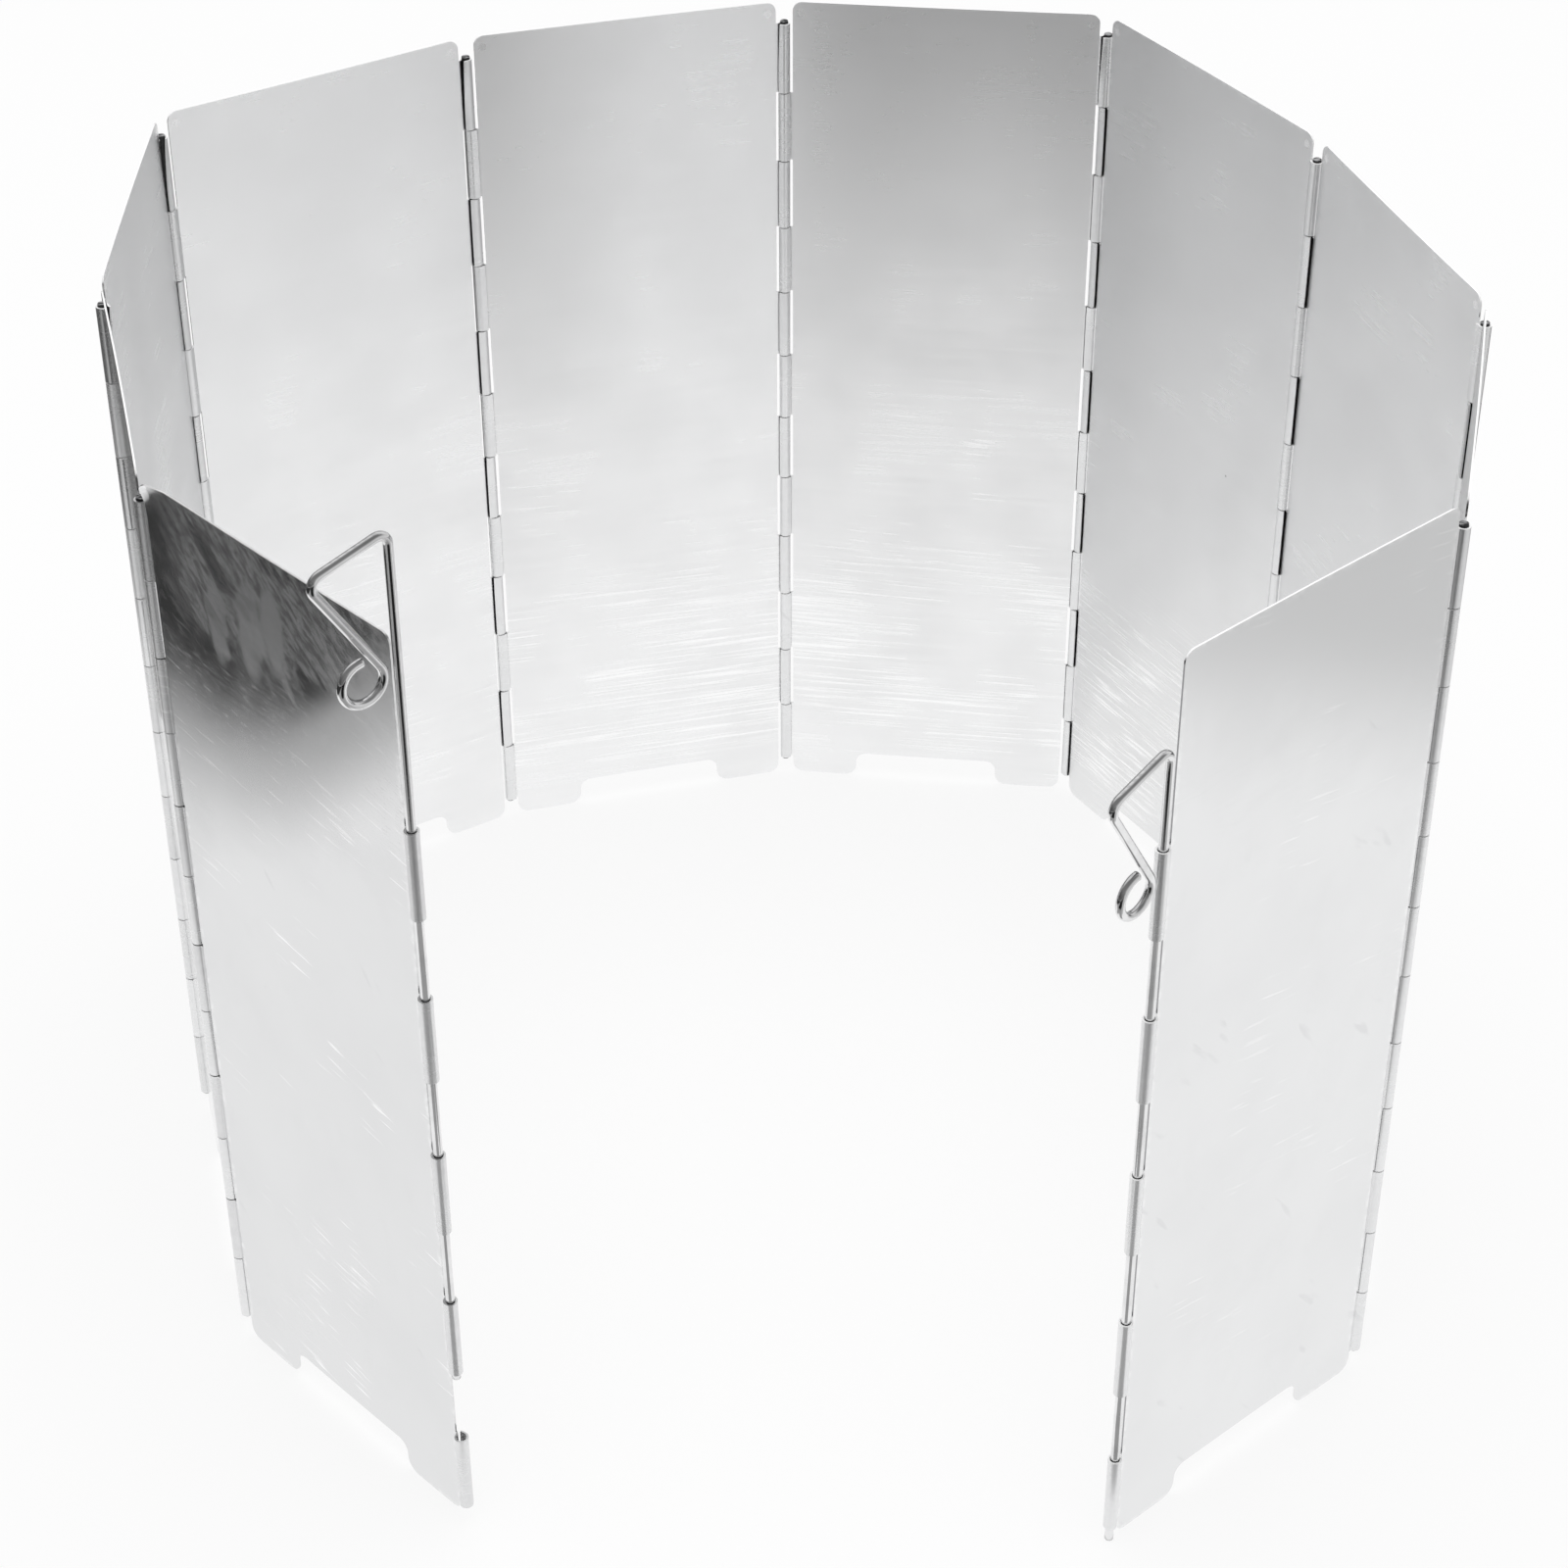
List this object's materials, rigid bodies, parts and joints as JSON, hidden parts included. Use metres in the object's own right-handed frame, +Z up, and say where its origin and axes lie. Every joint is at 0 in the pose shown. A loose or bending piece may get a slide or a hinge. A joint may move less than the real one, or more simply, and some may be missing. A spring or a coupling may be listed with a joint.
{
  "type": "folding stove windscreen",
  "caption": "Folding sheet-metal windscreen for a camping stove: flat panels hinged edge to edge on wire pins, with a wire ground stake in each free edge.",
  "frame": {"origin": "bottom centre of the bounding box, on the ground", "axes": "+X to the right seen from the open side, +Y from the open side to the back panels, +Z up"},
  "size_m": [0.3014, 0.3016, 0.2647],
  "materials": {
    "aluminium_sheet": "satin rolled sheet",
    "pin_wire": "drawn wire",
    "stake_wire": "bright drawn wire"
  },
  "bodies": {
    "end_panel_left": {"end_panel_left": "aluminium_sheet", "hinge_pin_1": "pin_wire"},
    "panel_2": {"panel_2": "aluminium_sheet", "hinge_pin_2": "pin_wire"},
    "panel_3": {"panel_3": "aluminium_sheet", "hinge_pin_3": "pin_wire"},
    "panel_4": {"panel_4": "aluminium_sheet", "hinge_pin_4": "pin_wire"},
    "panel_5": {"panel_5": "aluminium_sheet", "hinge_pin_5": "pin_wire"},
    "panel_6": {"panel_6": "aluminium_sheet", "hinge_pin_6": "pin_wire"},
    "panel_7": {"panel_7": "aluminium_sheet", "hinge_pin_7": "pin_wire"},
    "panel_8": {"panel_8": "aluminium_sheet", "hinge_pin_8": "pin_wire"},
    "panel_9": {"panel_9": "aluminium_sheet", "hinge_pin_9": "pin_wire"},
    "end_panel_right": {"end_panel_right": "aluminium_sheet"},
    "stake_left": {"stake_left": "stake_wire"},
    "stake_right": {"stake_right": "stake_wire"}
  },
  "joints": [
    {"name": "hinge_5", "type": "hinge", "parent": "panel_5", "child": "panel_6", "pos_m": [0.00215, 0.1493, 0.12], "axis": [0, 0, -1], "range_deg": [0, 157.5]},
    {"name": "hinge_6", "type": "hinge", "parent": "panel_6", "child": "panel_7", "pos_m": [0.08252, 0.13922, 0.12], "axis": [0, 0, 1], "range_deg": [0, 229.5]},
    {"name": "hinge_7", "type": "hinge", "parent": "panel_7", "child": "panel_8", "pos_m": [0.12442, 0.0699, 0.12], "axis": [0, 0, -1], "range_deg": [0, 164.5]},
    {"name": "hinge_8", "type": "hinge", "parent": "panel_8", "child": "panel_9", "pos_m": [0.14925, -0.0072, 0.12], "axis": [0, 0, 1], "range_deg": [0, 209]},
    {"name": "hinge_9", "type": "hinge", "parent": "panel_9", "child": "end_panel_right", "pos_m": [0.13054, -0.08601, 0.12], "axis": [0, 0, -1], "range_deg": [0, 141]},
    {"name": "hinge_4", "type": "hinge", "parent": "panel_5", "child": "panel_4", "pos_m": [-0.07673, 0.13088, 0.12], "axis": [0, 0, -1], "range_deg": [0, 195]},
    {"name": "hinge_3", "type": "hinge", "parent": "panel_4", "child": "panel_3", "pos_m": [-0.14663, 0.08995, 0.12], "axis": [0, 0, 1], "range_deg": [0, 120]},
    {"name": "hinge_2", "type": "hinge", "parent": "panel_3", "child": "panel_2", "pos_m": [-0.14925, 0.00899, 0.12], "axis": [0, 0, -1], "range_deg": [0, 193]},
    {"name": "hinge_1", "type": "hinge", "parent": "panel_2", "child": "end_panel_left", "pos_m": [-0.13054, -0.06983, 0.12], "axis": [0, 0, 1], "range_deg": [0, 148]},
    {"name": "left_stake_slide", "type": "slide", "parent": "end_panel_left", "child": "stake_left", "axis": [0, 0, 1], "range_m": [-0.065, 0.04]},
    {"name": "right_stake_slide", "type": "slide", "parent": "end_panel_right", "child": "stake_right", "axis": [0, 0, 1], "range_m": [-0.02, 0.085]}
  ],
  "couplings": [
    {"joint": "hinge_6", "follows": "hinge_5", "ratio": 1.4571},
    {"joint": "hinge_7", "follows": "hinge_5", "ratio": 1.0444},
    {"joint": "hinge_8", "follows": "hinge_5", "ratio": 1.327},
    {"joint": "hinge_9", "follows": "hinge_5", "ratio": 0.89524},
    {"joint": "hinge_4", "follows": "hinge_5", "ratio": 1.2381},
    {"joint": "hinge_3", "follows": "hinge_5", "ratio": 0.7619},
    {"joint": "hinge_2", "follows": "hinge_5", "ratio": 1.2254},
    {"joint": "hinge_1", "follows": "hinge_5", "ratio": 0.93968}
  ]
}
